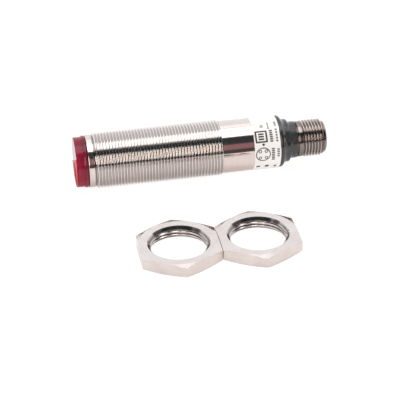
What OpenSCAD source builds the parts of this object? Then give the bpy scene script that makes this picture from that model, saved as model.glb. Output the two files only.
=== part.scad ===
// Cylindrical photoelectric sensor, M18 x 1 metal barrel, four-pin M12 plug, two mounting nuts.
// The sensor's axis is X and points to the plug. The origin is on that axis, halfway along the
// barrel's thread. The sensor and its nuts lie on the plane z = -thread_d / 2.

/* [Barrel] */
// Outer diameter of the barrel thread
thread_d = 18; // [17.9:0.1:18.1]
// Pitch of the barrel thread
thread_pitch = 1; // [1:0.5:1]
// Number of turns on the barrel
thread_turns = 41; // [39:1:43]
// Diameter of the plain front collar and of the plain rear part
plain_d = 17; // [16.8:0.1:17.1]
// Length of the plain collar in front of the thread
collar_len = 2.2; // [2:0.05:4]
// Length of the plain rear part
rear_len = 18.9; // [17:0.05:21]
// Diameter of the bore
bore_d = 15; // [14.9:0.05:15.1]

/* [Lens cap] */
// Diameter of the lens cap's rim where it meets the barrel
lens_rim_d = 16.7; // [16.5:0.1:17]
// Diameter of the front of the lens cap
lens_front_d = 16.1; // [15.8:0.1:16.4]
// Distance from the barrel's front edge to the lens face
lens_reach = 3.75; // [3.6:0.05:4.2]
// How far the lower, D-shaped window stands proud of the face
window_step = 0.2; // [0.1:0.05:0.3]
// Roll of the sensor about its own axis as it lies
sensor_roll = -29; // [-45:1:0]

/* [End cap] */
// Diameter of the end cap's flange
cap_flange_d = 16.9; // [16.7:0.1:17.1]
// Diameter of the middle step of the end cap
cap_step_d = 14; // [13.8:0.1:14.2]
// Diameter of the rear ring of the end cap
cap_ring_d = 12; // [11.8:0.1:12.2]
// Length of the end cap outside the barrel
cap_len = 6.4; // [6.2:0.1:7]

/* [Plug] */
// Outer diameter of the plug thread
plug_d = 12; // [11.9:0.1:12]
// Pitch of the plug thread
plug_pitch = 1; // [1:0.5:1]
// Number of turns on the plug
plug_turns = 7; // [6:1:7]
// Length of the plug outside the end cap
plug_len = 9.65; // [9.6:0.05:10]
// Diameter of the circle on which the contact pins stand
pin_circle_d = 5; // [4.8:0.1:5.1]
// Diameter of a contact pin
pin_d = 1; // [0.9:0.05:1]

/* [Mounting nuts] */
// Width across flats of a mounting nut
nut_af = 24; // [23.8:0.1:24]
// Thickness of a mounting nut
nut_h = 4; // [3.8:0.1:4.2]
// Diameter of the countersunk mouth of the nut's hole
nut_mouth_d = 18.9; // [18.6:0.1:19.2]
// Slope of the bevel on the nut's corners
nut_bevel_angle = 15; // [12:1:30]
// Gap between the facing flats of the two nuts as they lie
nut_gap = 0.15; // [0.12:0.01:1]
// Distance from the sensor's axis to the row of nuts
nut_row_y = 46; // [35:1:60]
// Middle of the pair of nuts along the sensor's axis
nut_pair_x = 11.15; // [0:0.05:20]

/* [Hidden] */
$fn = 96;
eps = 0.01;
floor_z = -thread_d / 2;

// Stations along X, from the lens to the plug.
thread_x0 = -thread_turns * thread_pitch / 2;
thread_x1 = thread_turns * thread_pitch / 2;
joint_x = thread_x0 - collar_len;
face_x = joint_x - lens_reach;
rear_x = thread_x1 + rear_len;
cap_x1 = rear_x + cap_len;
plug_x1 = cap_x1 + plug_len;

// Sixty-degree thread form: depth of an outer and of an inner ridge, and the crest flats.
outer_depth = 0.6134;
inner_depth = 0.5413;
outer_flat = 1 / 8;
inner_flat = 1 / 4;

// Shared fits and walls.
slip = 0.05;
edge = 0.15;
bore_r = bore_d / 2;
spigot_r = bore_r - 2 * slip;
spigot_len = 4;
seal_r = 0.3;
seal_gap = 0.45;

// Optics, in the sensor's own unrolled frame: the emitter is below the board, the receiver above.
lens_wall_r = 6.65;
face_plate = 1.45;
plate_x = face_x + face_plate;
channel_z = 3.35;
lens_r = 2.95;
filter_t = 0.2;
lens_edge_t = 0.65;
lens_bulge = 1.1;
lens_ball_r = (lens_r * lens_r + lens_bulge * lens_bulge) / (2 * lens_bulge);
holder_x0 = plate_x + slip;
holder_x1 = face_x + 15.5;
filter_x = holder_x0 + slip;
lens_x = filter_x + filter_t + slip;
pocket_len = 2.4;
seat_r = 1.6;
seat_len = 3;
window_z = 0.8;

// Board and the parts on it.
board_t = 1;
board_w = 13.6;
board_x0 = holder_x1 + 0.3;
board_x1 = board_x0 + 45.2;
tail_w = 11.8;
tail_x1 = rear_x - 0.65;
top_z = board_t / 2;
sleeve_r = bore_r - 2 * slip;
sleeve_wall = 0.4;
sleeve_x0 = joint_x + spigot_len + 0.25;
sleeve_x1 = rear_x - spigot_len - 0.25;

// Plug, inside the end cap and outside it.
neck_d = 10.4;
shoulder_d = 11.6;
shoulder_gap = 0.3;
tip_d = 10.3;
socket_r = 4.3;
plug_x0 = rear_x + 1.65;
anchor_r = 5.7;
anchor_len = 1.3;
plug_thread_x0 = cap_x1 + 1.7;
carrier_x0 = rear_x + 1.35;
carrier_x1 = rear_x + 8.45;
pin_x0 = rear_x + 0.15;
pin_step = 0.1;
pin_x1 = rear_x + 14.85;
flat_turn = 53;
flat_r = cap_ring_d / 2 - 0.2;

// Nuts.
nut_pitch_x = nut_af + nut_gap;
nut_crest_r = thread_d / 2 - inner_depth * thread_pitch;
nut_corner_r = nut_af / 2 / cos(30);
nut_bevel_r = nut_af / 2 - 0.1;
nut_bevel_drop = (nut_corner_r - nut_bevel_r) * tan(nut_bevel_angle);

steel = "#d5ccc6";
nickel = "#b9aca3";
red_lens = "#9c1c38";
smoke = "#3b3f44";
black = "#1c1c1e";
gold = "#d3a640";
tin = "#c8c8c4";
board_green = "#1f6b3a";

// The sensor's own frame, rolled about its axis to where it lies.
module rolled() {
    rotate([sensor_roll, 0, 0]) children();
}

// A body of revolution about X from [radius, x] points.
module turned(points) {
    rotate([0, 90, 0]) rotate_extrude() polygon(points);
}

// A rod along X between two stations, at [y, z].
module rod(r, x0, x1, y = 0, z = 0) {
    translate([x0, y, z]) rotate([0, 90, 0]) cylinder(r = r, h = x1 - x0);
}

// A block from its low corner in x, centred in y, standing on z.
module block(x, y, z, size) {
    translate([x, y - size[1] / 2, z]) cube(size);
}

// [radius, x] points of ring ridges on the outside of a rod, from x0 on.
function outer_ridges(r, pitch, turns, x0) = [
    for (i = [0 : turns - 1], p = outer_ridge(r, pitch, x0 + (i + 0.5) * pitch)) p
];
function outer_ridge(r, pitch, x) = [
    [r - outer_depth * pitch, x - outer_flat * pitch / 2 - outer_depth * pitch * tan(30)],
    [r, x - outer_flat * pitch / 2],
    [r, x + outer_flat * pitch / 2],
    [r - outer_depth * pitch, x + outer_flat * pitch / 2 + outer_depth * pitch * tan(30)]
];

// [radius, z] points of ring ridges inside a nut, from the bottom up.
function inner_ridges(r, pitch, turns, z0) = [
    for (i = [0 : turns - 1], p = inner_ridge(r, pitch, z0 + i * pitch)) p
];
function inner_ridge(r, pitch, z) = [
    [r + inner_depth * pitch, z - inner_flat * pitch / 2 - inner_depth * pitch * tan(30)],
    [r, z - inner_flat * pitch / 2],
    [r, z + inner_flat * pitch / 2],
    [r + inner_depth * pitch, z + inner_flat * pitch / 2 + inner_depth * pitch * tan(30)]
];

// Points of a quarter arc in an outline, from angle a0 to a1.
function arc(r0, x0, r, a0, a1, steps = 6) = [
    for (i = [0 : steps]) let (a = a0 + (a1 - a0) * i / steps) [r0 + r * cos(a), x0 + r * sin(a)]
];

// A seal ring that lies in a groove and just meets the bore.
module seal_ring(x) {
    rotate([0, 90, 0]) translate([0, 0, x]) rotate_extrude() translate([bore_r - seal_r, 0])
        circle(r = seal_r, $fn = 32);
}

module barrel() {
    plain_r = plain_d / 2;
    undercut_r = plain_r - 0.3;
    undercut_len = 0.25;
    color(steel) turned(concat(
        [
            [bore_r, joint_x],
            [plain_r - edge, joint_x],
            [plain_r, joint_x + edge],
            [plain_r, thread_x0 - undercut_len],
            [undercut_r, thread_x0 - undercut_len],
            [undercut_r, thread_x0]
        ],
        outer_ridges(thread_d / 2, thread_pitch, thread_turns, thread_x0),
        [
            [thread_d / 2 - outer_depth * thread_pitch, thread_x1],
            [plain_r, thread_x1 + edge],
            [plain_r, rear_x - edge],
            [plain_r - edge, rear_x],
            [bore_r, rear_x]
        ]
    ));
}

// Cup of clear red plastic: rim, face plate, raised D window and a spigot with a seal groove.
module lens_cap() {
    rim_r = lens_rim_d / 2;
    front_r = lens_front_d / 2;
    rim_len = 1.2;
    groove_x = joint_x + 2;
    groove_r = bore_r - 2 * seal_r - eps;
    color(red_lens) rolled() {
        turned([
            [0, face_x],
            [front_r - edge, face_x],
            [front_r, face_x + edge],
            [front_r, joint_x - rim_len],
            [rim_r - edge, joint_x - rim_len],
            [rim_r, joint_x - rim_len + edge],
            [rim_r, joint_x - edge],
            [rim_r - edge, joint_x],
            [spigot_r, joint_x],
            [spigot_r, groove_x - seal_gap],
            [groove_r, groove_x - seal_gap],
            [groove_r, groove_x + seal_gap],
            [spigot_r, groove_x + seal_gap],
            [spigot_r, joint_x + spigot_len],
            [lens_wall_r, joint_x + spigot_len],
            [lens_wall_r, plate_x],
            [0, plate_x]
        ]);
        intersection() {
            rod(front_r - edge, face_x - window_step, face_x + edge);
            translate([face_x - 1, -front_r, window_z - 2 * front_r])
                cube([2, 2 * front_r, 2 * front_r]);
        }
    }
}

module lens_seal() {
    color(black) seal_ring(joint_x + 2);
}

// Thin film disc in front of one lens.
module polariser(z) {
    rolled() rod(lens_r, filter_x, filter_x + filter_t, 0, z);
}
module emitter_polariser() {
    color("#5a2a3a") polariser(-channel_z);
}
module receiver_polariser() {
    color("#4a3a4a") polariser(channel_z);
}

// Lens with a flat front and a bulging back.
module lens(z) {
    back_x = lens_x + lens_edge_t;
    bulge_angle = asin(lens_r / lens_ball_r);
    color("#f2dfe2") rolled() translate([0, 0, z]) turned(concat(
        [[0, lens_x], [lens_r, lens_x]],
        arc(0, back_x + lens_bulge - lens_ball_r, lens_ball_r, 90 - bulge_angle, 90, 8)
    ));
}
module emitter_lens() {
    lens(-channel_z);
}
module receiver_lens() {
    lens(channel_z);
}

// Black block with two light channels, and a rear flange that centres it in the sleeve.
module optics_holder() {
    holder_r = lens_wall_r - 0.1;
    flange_r = sleeve_r - sleeve_wall - slip;
    flange_len = 1.5;
    color(black) rolled() difference() {
        union() {
            rod(holder_r, holder_x0, holder_x1);
            rod(flange_r, holder_x1 - flange_len, holder_x1);
        }
        for (z = [-channel_z, channel_z]) {
            rod(lens_r + slip, holder_x0 - 1, holder_x0 + pocket_len, 0, z);
            translate([holder_x0 + pocket_len - eps, 0, z]) rotate([0, 90, 0])
                cylinder(r1 = lens_r - 0.2, r2 = seat_r, h = holder_x1 - seat_len - holder_x0 - pocket_len);
            rod(seat_r, holder_x1 - seat_len - 2 * eps, holder_x1 + 1, 0, z);
        }
    }
}

// Two wires from a part in its seat, bent over to the board's face.
module seat_leads(z, spacing) {
    wire_r = 0.2;
    bend_x = board_x0 + 1.2;
    foot_z = sign(z) * top_z;
    for (y = [-spacing / 2, spacing / 2]) {
        rod(wire_r, holder_x1 - 0.4, bend_x, y, z);
        translate([bend_x, y, z]) sphere(r = wire_r, $fn = 24);
        translate([bend_x, y, min(z, foot_z)]) cylinder(r = wire_r, h = abs(z - foot_z));
    }
}

module emitter_led() {
    body_r = seat_r - 0.2;
    dome_x = holder_x1 - seat_len + body_r + 0.2;
    color("#e06a6a") rolled() {
        rod(body_r, dome_x, holder_x1 - 0.3, 0, -channel_z);
        translate([dome_x, 0, -channel_z]) sphere(r = body_r);
        rod(seat_r - slip, holder_x1 - 0.8, holder_x1 - 0.3, 0, -channel_z);
        seat_leads(-channel_z, 1.27);
    }
}

module receiver_photodiode() {
    body_r = seat_r - 0.2;
    window_r = 0.9;
    color("#26262a") rolled() {
        difference() {
            rod(body_r, holder_x1 - 2, holder_x1 - 0.3, 0, channel_z);
            rod(window_r, holder_x1 - 3, holder_x1 - 1.8, 0, channel_z);
        }
        rod(seat_r - slip, holder_x1 - 0.8, holder_x1 - 0.3, 0, channel_z);
        seat_leads(channel_z, 1.27);
    }
}

// Plastic liner between the board and the metal, with ribs above and below the board's edges.
module inner_sleeve() {
    inside_r = sleeve_r - sleeve_wall;
    rib_w = 1.1;
    rib_h = 0.6;
    rib_x0 = holder_x1 + 0.5;
    color("#d9d4c4") rolled() {
        difference() {
            rod(sleeve_r, sleeve_x0, sleeve_x1);
            rod(inside_r, sleeve_x0 - 1, sleeve_x1 + 1);
        }
        intersection() {
            rod(sleeve_r - slip, rib_x0, sleeve_x1);
            for (side = [-1, 1], face = [-1, 1])
                block(rib_x0, side * (inside_r - rib_w / 2 + 0.1), face * (top_z + slip + rib_h / 2)
                    - rib_h / 2, [sleeve_x1 - rib_x0, rib_w + 0.2, rib_h]);
        }
    }
}

module main_board() {
    hole_r = 0.35;
    color(board_green) rolled() difference() {
        union() {
            block(board_x0, 0, -top_z, [board_x1 - board_x0, board_w, board_t]);
            block(board_x1 - 1, 0, -top_z, [tail_x1 - board_x1 + 1, tail_w, board_t]);
        }
        for (x = [board_x0 + 3.2, board_x1 - 1.5], y = [-5.6, 5.6])
            translate([x, y, -board_t]) cylinder(r = hole_r, h = 2 * board_t);
    }
}

// Flat chip package standing on the board with a row of legs on each side.
module leaded_chip(x, y, size, legs, pitch, side = 1) {
    leg_w = 0.35;
    leg_reach = 0.6;
    leg_t = 0.2;
    mirror([0, 0, side > 0 ? 0 : 1]) {
        block(x - size[0] / 2, y, top_z + 0.1, size);
        for (i = [0 : legs - 1])
            block(x + (i - (legs - 1) / 2) * pitch - leg_w / 2, y, top_z,
                [leg_w, size[1] + 2 * leg_reach, leg_t]);
    }
}

module amplifier_chip() {
    color(black) rolled() leaded_chip(board_x0 + 4.6, 0, [3, 3, 0.9], 4, 0.65);
}

// Thin metal box over the amplifier, open towards the board.
module shield_can() {
    wall = 0.2;
    size = [6.4, 7.4, 1.9];
    centre_x = board_x0 + 4.9;
    color(tin) rolled() difference() {
        block(centre_x - size[0] / 2, 0, top_z, size);
        block(centre_x - size[0] / 2 + wall, 0, top_z - 1,
            [size[0] - 2 * wall, size[1] - 2 * wall, size[2] + 1 - wall]);
    }
}

module control_chip() {
    color(black) rolled() leaded_chip(board_x0 + 13.7, 0, [6.2, 4.4, 1.2], 8, 0.65);
}

module voltage_regulator() {
    color(black) rolled() leaded_chip(board_x0 + 21.7, 2.4, [4.5, 2.5, 1.5], 3, 1.5);
}

module output_transistors() {
    color(black) rolled() for (x = [30.2, 35.7])
        leaded_chip(board_x0 + x, 0, [3, 1.6, 1.1], 2, 1.9);
}

module protection_diodes() {
    color(black) rolled() for (x = [26.2, 31.2, 36.2])
        leaded_chip(board_x0 + x, 0, [2.4, 3.8, 2], 1, 1, -1);
}

// Block capacitor with a metal tab at each end.
module filter_capacitor() {
    size = [6, 3.2, 2.5];
    color("#c9962e") rolled() translate([board_x0 + 15.2, 0, -top_z - size[2]]) {
        block(-size[0] / 2, 0, 0, size);
        block(-size[0] / 2 - 0.2, 0, 0.4, [size[0] + 0.4, 2.2, size[2] - 0.4]);
    }
}

// Small chips in two rows on one face of the board.
module chip_row(x0, step, count, y, size, side) {
    for (i = [0 : count - 1])
        block(x0 + i * step - size[0] / 2, y, side > 0 ? top_z : -top_z - size[2], size);
}

module chip_capacitors() {
    size = [1.6, 0.8, 0.8];
    color("#b08a5c") rolled() {
        chip_row(board_x0 + 8.2, 3.2, 9, -5, size, -1);
        chip_row(board_x0 + 10, 3.2, 4, 5.2, size, 1);
    }
}

module chip_resistors() {
    size = [1.6, 0.8, 0.45];
    color("#2a2a2c") rolled() {
        chip_row(board_x0 + 8.2, 2.6, 11, 5, size, -1);
        chip_row(board_x0 + 19.7, 2.6, 8, -4.8, size, 1);
    }
}

// Indicator lamp: a base with a small clear dome, on the part of the board inside the end cap.
module lamp(y, side) {
    lamp_x = board_x0 + 47.2;
    mirror([0, 0, side > 0 ? 0 : 1]) {
        block(lamp_x - 0.6, y, top_z, [1.2, 2, 0.5]);
        translate([lamp_x, y, top_z + 0.4]) cylinder(r = 0.5, h = 0.5);
    }
}
module power_led() {
    color("#7be07b") rolled() lamp(4, 1);
}
module output_led() {
    color("#f0c040") rolled() lamp(-4, 1);
}

// Smoke-coloured clear cap: spigot, flange, sloped shoulder, step and rear ring with two flats.
module end_cap() {
    flange_r = cap_flange_d / 2;
    step_r = cap_step_d / 2;
    ring_r = cap_ring_d / 2;
    hole_r = neck_d / 2 + slip;
    groove_x = rear_x - 2;
    groove_r = bore_r - 2 * seal_r - eps;
    spigot_bore_r = 6.4;
    anchor_bore_r = anchor_r + slip;
    anchor_x1 = plug_x0 + anchor_len + slip;
    round_r = 0.5;
    step_x1 = rear_x + 3.6;
    ring_x0 = step_x1 + step_r - ring_r - 0.5;
    draft = 0.03;
    color(smoke) rolled() difference() {
        turned(concat(
            [
                [spigot_bore_r, rear_x - spigot_len],
                [spigot_r, rear_x - spigot_len],
                [spigot_r, groove_x - seal_gap],
                [groove_r, groove_x - seal_gap],
                [groove_r, groove_x + seal_gap],
                [spigot_r, groove_x + seal_gap],
                [spigot_r, rear_x],
                [flange_r - edge, rear_x],
                [flange_r, rear_x + edge]
            ],
            arc(flange_r - round_r, rear_x + 0.75, round_r, 0, 50),
            [
                [step_r + 0.15, rear_x + 2.1],
                [step_r, rear_x + 2.5]
            ],
            arc(step_r - round_r, step_x1 - round_r, round_r, 0, 60),
            [
                [ring_r + 0.2, ring_x0],
                [ring_r + draft, ring_x0 + 0.3],
                [ring_r - draft, cap_x1 - edge],
                [ring_r - draft - edge, cap_x1],
                [hole_r, cap_x1],
                [hole_r, anchor_x1],
                [anchor_bore_r, anchor_x1],
                [anchor_bore_r, rear_x + 1],
                [spigot_bore_r, rear_x + 1]
            ]
        ));
        for (turn = [flat_turn, flat_turn + 180]) rotate([turn, 0, 0])
            translate([ring_x0 + 0.4, -ring_r, flat_r]) cube([cap_x1, 2 * ring_r, 1]);
    }
}

module end_cap_seal() {
    color(black) seal_ring(rear_x - 2);
}

// Wrapped foil with a narrow seam on the side that faces away.
module label() {
    foil_t = 0.1;
    label_x0 = thread_x1 + 10.2;
    seam = 2;
    color("#f4f2ef") rolled() difference() {
        rod(plain_d / 2 + foil_t, label_x0, rear_x - edge);
        rod(plain_d / 2, label_x0 - 1, rear_x + 1);
        rotate([210, 0, 0]) block(label_x0 - 1, 0, 0, [rear_x, seam, plain_d]);
    }
}

module connector_shell() {
    neck_r = neck_d / 2;
    tip_r = tip_d / 2;
    shoulder_r = shoulder_d / 2;
    thread_root = plug_d / 2 - outer_depth * plug_pitch;
    thread_end = plug_thread_x0 + plug_turns * plug_pitch;
    color(nickel) turned(concat(
        [
            [socket_r, plug_x0],
            [anchor_r, plug_x0],
            [anchor_r, plug_x0 + anchor_len],
            [neck_r, plug_x0 + anchor_len],
            [neck_r, cap_x1 + shoulder_gap],
            [shoulder_r, cap_x1 + shoulder_gap],
            [shoulder_r, plug_thread_x0]
        ],
        outer_ridges(plug_d / 2, plug_pitch, plug_turns, plug_thread_x0),
        [
            [thread_root, thread_end],
            [tip_r, thread_end + 0.1],
            [tip_r, plug_x1 - 0.35],
            [tip_r - 0.35, plug_x1],
            [socket_r, plug_x1]
        ]
    ));
}

// Angle of a contact pin about the axis; the coding rib is halfway between two pins.
function pin_angle(i) = 90 * i - 45;

// Insulating insert with a coding rib along the socket wall.
module contact_carrier() {
    rib_w = 1.1;
    rib_h = 0.65;
    carrier_r = socket_r - slip;
    color(black) rolled() difference() {
        union() {
            rod(carrier_r, carrier_x0, carrier_x1);
            intersection() {
                rod(carrier_r, carrier_x1 - 1, plug_x1 - 1);
                block(carrier_x1 - 1, 0, carrier_r - rib_h, [plug_x1, rib_w, rib_h + 1]);
            }
        }
        for (i = [1 : 4]) rotate([pin_angle(i), 0, 0])
            rod(pin_d / 2 - pin_step + eps, carrier_x0 - 1, carrier_x1 + 1, 0, pin_circle_d / 2);
    }
}

// Contact pin with a rounded tip, and a thinner tail for its lead.
module contact_pin(i) {
    tail_r = 0.3;
    color(gold) rolled() rotate([pin_angle(i), 0, 0]) {
        rod(pin_d / 2, carrier_x1 + slip, pin_x1 - pin_d / 2, 0, pin_circle_d / 2);
        rod(pin_d / 2 - pin_step, carrier_x0 + slip, carrier_x1 + 2 * slip, 0, pin_circle_d / 2);
        translate([pin_x1 - pin_d / 2, 0, pin_circle_d / 2]) sphere(r = pin_d / 2, $fn = 48);
        rod(tail_r, pin_x0, carrier_x0 + 2 * slip, 0, pin_circle_d / 2);
    }
}
module contact_pin_1() {
    contact_pin(1);
}
module contact_pin_2() {
    contact_pin(2);
}
module contact_pin_3() {
    contact_pin(3);
}
module contact_pin_4() {
    contact_pin(4);
}

// Insulated wire from a pad on the board's tail straight to the tail of a pin.
module lead(i, tint) {
    wire_r = 0.4;
    lift = top_z + 1.3 * wire_r;
    a = pin_angle(i);
    end = [pin_x0 - slip, -pin_circle_d / 2 * sin(a), pin_circle_d / 2 * cos(a)];
    start = [tail_x1 - 2, end[1], sign(end[2]) * lift];
    span = end - start;
    color(tint) rolled() translate(start) rotate([0, acos(span[2] / norm(span)), 0])
        cylinder(r = wire_r, h = norm(span));
}
module lead_brown() {
    lead(1, "#6b3f22");
}
module lead_white() {
    lead(2, "#e8e6e0");
}
module lead_blue() {
    lead(3, "#2b55a8");
}
module lead_black() {
    lead(4, "#1a1a1c");
}

// Flat hexagon nut with bevelled corners and a countersunk, threaded hole.
module mounting_nut() {
    mouth_r = nut_mouth_d / 2;
    turns = 3;
    first_z = nut_h / 2 - (turns - 1) / 2 * thread_pitch;
    root_r = thread_d / 2;
    mouth_drop = mouth_r - root_r;
    color(steel) difference() {
        intersection() {
            rotate([0, 0, 30]) cylinder(r = nut_corner_r, h = nut_h, $fn = 6);
            rotate_extrude() polygon([
                [0, 0],
                [nut_bevel_r, 0],
                [nut_corner_r + 1, nut_bevel_drop + tan(nut_bevel_angle)],
                [nut_corner_r + 1, nut_h - nut_bevel_drop - tan(nut_bevel_angle)],
                [nut_bevel_r, nut_h],
                [0, nut_h]
            ]);
        }
        rotate_extrude() polygon(concat(
            [
                [0, -1],
                [mouth_r + 1, -1],
                [root_r, mouth_drop]
            ],
            inner_ridges(nut_crest_r, thread_pitch, turns, first_z),
            [
                [root_r, nut_h - mouth_drop],
                [mouth_r + 1, nut_h + 1],
                [0, nut_h + 1]
            ]
        ));
    }
}
module mounting_nut_1() {
    translate([nut_pair_x - nut_pitch_x / 2, -nut_row_y, floor_z]) mounting_nut();
}
module mounting_nut_2() {
    translate([nut_pair_x + nut_pitch_x / 2, -nut_row_y, floor_z]) mounting_nut();
}

barrel();
lens_cap();
lens_seal();
emitter_polariser();
receiver_polariser();
emitter_lens();
receiver_lens();
optics_holder();
emitter_led();
receiver_photodiode();
inner_sleeve();
main_board();
amplifier_chip();
shield_can();
control_chip();
voltage_regulator();
output_transistors();
protection_diodes();
filter_capacitor();
chip_capacitors();
chip_resistors();
power_led();
output_led();
end_cap();
end_cap_seal();
label();
connector_shell();
contact_carrier();
contact_pin_1();
contact_pin_2();
contact_pin_3();
contact_pin_4();
lead_brown();
lead_white();
lead_blue();
lead_black();
mounting_nut_1();
mounting_nut_2();
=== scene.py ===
"""Looks of a cylindrical photoelectric sensor and its two nuts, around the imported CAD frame."""

import math

import bmesh
import bpy
from mathutils import Matrix, Vector


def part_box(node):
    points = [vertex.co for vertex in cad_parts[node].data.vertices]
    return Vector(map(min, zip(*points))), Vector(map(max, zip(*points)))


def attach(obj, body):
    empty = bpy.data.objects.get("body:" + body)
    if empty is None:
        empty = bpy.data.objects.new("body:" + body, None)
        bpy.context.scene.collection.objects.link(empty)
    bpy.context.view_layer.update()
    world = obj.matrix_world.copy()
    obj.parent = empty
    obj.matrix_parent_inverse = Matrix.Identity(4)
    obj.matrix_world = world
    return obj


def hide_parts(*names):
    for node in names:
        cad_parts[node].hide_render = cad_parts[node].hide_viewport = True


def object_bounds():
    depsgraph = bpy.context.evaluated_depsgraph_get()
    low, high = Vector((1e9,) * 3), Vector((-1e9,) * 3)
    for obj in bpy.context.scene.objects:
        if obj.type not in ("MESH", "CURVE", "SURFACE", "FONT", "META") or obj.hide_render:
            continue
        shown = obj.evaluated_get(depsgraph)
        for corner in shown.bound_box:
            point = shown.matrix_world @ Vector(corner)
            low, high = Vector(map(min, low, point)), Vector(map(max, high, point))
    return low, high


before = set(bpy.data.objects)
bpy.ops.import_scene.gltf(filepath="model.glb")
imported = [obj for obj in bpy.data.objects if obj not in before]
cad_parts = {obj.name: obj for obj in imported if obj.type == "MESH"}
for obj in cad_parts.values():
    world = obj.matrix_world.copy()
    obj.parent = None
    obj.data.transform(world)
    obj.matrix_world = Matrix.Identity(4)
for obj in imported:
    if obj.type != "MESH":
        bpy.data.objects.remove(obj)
cad_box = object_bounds()

MM = 0.001
TAU = 2 * math.pi
# The sensor's roll about its axis, and the pitch of every thread in millimetres.
ROLL = math.radians(-29)
PITCH = 1.0


def end_x(node, side):
    """X of a CAD node's low end (side 0) or high end (side 1), in millimetres."""
    return round(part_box(node)[side].x / MM, 2)



# ---------------------------------------------------------------- camera

CAMERA_AT = Vector((-57.20, -398.84, 222.7)) * MM
CAMERA_TO = Vector((10.95, -16.75, -9.0)) * MM
CAMERA_ROLL = math.radians(-1.16)

camera_data = bpy.data.cameras.new("camera")
camera_data.lens = 128.3
camera_data.sensor_width = 36.0
camera_data.clip_start = 0.01
camera = bpy.data.objects.new("camera", camera_data)
bpy.context.scene.collection.objects.link(camera)
look = (CAMERA_TO - CAMERA_AT).to_track_quat("-Z", "Y").to_matrix()
camera.matrix_world = (
    Matrix.Translation(CAMERA_AT)
    @ (look @ Matrix.Rotation(CAMERA_ROLL, 3, "Z")).to_4x4()
)
bpy.context.scene.camera = camera
bpy.context.scene.view_settings.view_transform = "Standard"


# ---------------------------------------------------------------- mesh helpers
# Lengths in these helpers are in millimetres; the finished mesh is scaled to metres.


def about_x(along, r, a):
    """Angle 0 is straight up; a grows as a right-hand turn about +X."""
    return (along, -r * math.sin(a), r * math.cos(a))


def about_z(along, r, a):
    """Angle 0 is along +X; a grows as a right-hand turn about +Z."""
    return (r * math.cos(a), r * math.sin(a), along)


def even_angles(count):
    return [TAU * k / count for k in range(count)]


def ring_faces(rows, width, closed_round, base=0):
    """Quads between each row of points and the next."""
    faces = []
    last = width if closed_round else width - 1
    for j in range(rows - 1):
        for k in range(last):
            n = (k + 1) % width
            a = base + j * width
            faces.append((a + k, a + n, a + width + n, a + width + k))
    return faces


def make_object(name, verts, faces, sharp_deg=35, weighted=True):
    """A welded, smooth-shaded object in metres, with its hard edges kept crisp."""
    mesh = bpy.data.meshes.new(name)
    mesh.from_pydata(verts, [], faces)
    bm = bmesh.new()
    bm.from_mesh(mesh)
    bmesh.ops.remove_doubles(bm, verts=bm.verts, dist=1e-4)
    bmesh.ops.dissolve_degenerate(bm, edges=bm.edges, dist=1e-4)
    bmesh.ops.recalc_face_normals(bm, faces=bm.faces)
    bmesh.ops.scale(bm, vec=(MM, MM, MM), verts=bm.verts)
    set_sharpness(bm, sharp_deg)
    bm.to_mesh(mesh)
    bm.free()
    obj = bpy.data.objects.new(name, mesh)
    bpy.context.scene.collection.objects.link(obj)
    if weighted:
        keep_flats_flat(obj)
    return obj


def set_sharpness(bm, sharp_deg):
    """Smooth shading, broken at edges that turn by sharp_deg or more."""
    limit = math.radians(sharp_deg)
    for face in bm.faces:
        face.smooth = True
    for edge in bm.edges:
        edge.smooth = len(edge.link_faces) == 2 and edge.calc_face_angle(0) < limit


def keep_flats_flat(obj):
    """Shades large faces flat and lets the small bevels between them carry the curve."""
    modifier = obj.modifiers.new("flat_faces", "WEIGHTED_NORMAL")
    modifier.keep_sharp = True
    modifier.weight = 80


def soften(points, radius=0.15, steps=3):
    """Rounds the inner corners of an open outline of (along, r) points, where there is room."""
    out = [points[0]]
    for before, here, after in zip(points, points[1:], points[2:]):
        p, q, s = Vector(before), Vector(here), Vector(after)
        to_p, to_s = p - q, s - q
        cut = min(radius, 0.45 * to_p.length, 0.45 * to_s.length)
        if cut < 1e-4 or to_p.angle(to_s) > math.radians(170):
            out.append(here)
            continue
        a, b = q + to_p.normalized() * cut, q + to_s.normalized() * cut
        for i in range(steps + 1):
            t = i / steps
            point = a * (1 - t) ** 2 + q * (2 * t * (1 - t)) + b * t * t
            out.append((point.x, point.y))
    out.append(points[-1])
    return out


def loop_soften(points, radius=0.15, steps=3):
    """The same for a closed outline; the first and last corners are rounded too."""
    wrapped = [points[-1]] + points + [points[0]]
    return soften(wrapped, radius, steps)[1:-1]


def revolve(name, outline, count=160, shape=None, place=about_x, sharp_deg=35):
    """Turns a closed outline of (along, r) points about an axis. shape(along, r, a) may
    change a radius, for flats."""
    shape = shape or (lambda along, r, a: r)
    angles = even_angles(count)
    verts = [place(x, shape(x, r, a), a) for x, r in outline + outline[:1] for a in angles]
    faces = ring_faces(len(outline) + 1, count, True)
    return make_object(name, verts, faces, sharp_deg)


# One turn of a rounded 60 degree ridge: place along the pitch, and share of its height.
RIDGE = [
    (-0.445, 0.0), (-0.4167, 0.022), (-0.385, 0.09), (-0.085, 0.936), (-0.0625, 0.982),
    (-0.035, 1.0), (0.035, 1.0), (0.0625, 0.982), (0.085, 0.936), (0.385, 0.09),
    (0.4167, 0.022), (0.445, 0.0),
]


def thread_sheet(start, end, radius, angles, place):
    """A one-start right-hand helix of ridges from start to end. radius(along, height)
    gives the surface, and must not depend on height at the two ends, where the sheet
    is gathered into plain rings. The last column meets the first one turn further on."""
    columns = angles + [TAU]
    verts = []
    rows = 0
    for turn in range(math.floor(start / PITCH) - 2, math.ceil(end / PITCH) + 2):
        for offset, height in RIDGE:
            for a in columns:
                along = (turn + offset + a / TAU) * PITCH
                along = min(max(along, start), end)
                verts.append(place(along, radius(along, height), a))
            rows += 1
    return verts, ring_faces(rows, len(columns), False)


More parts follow.
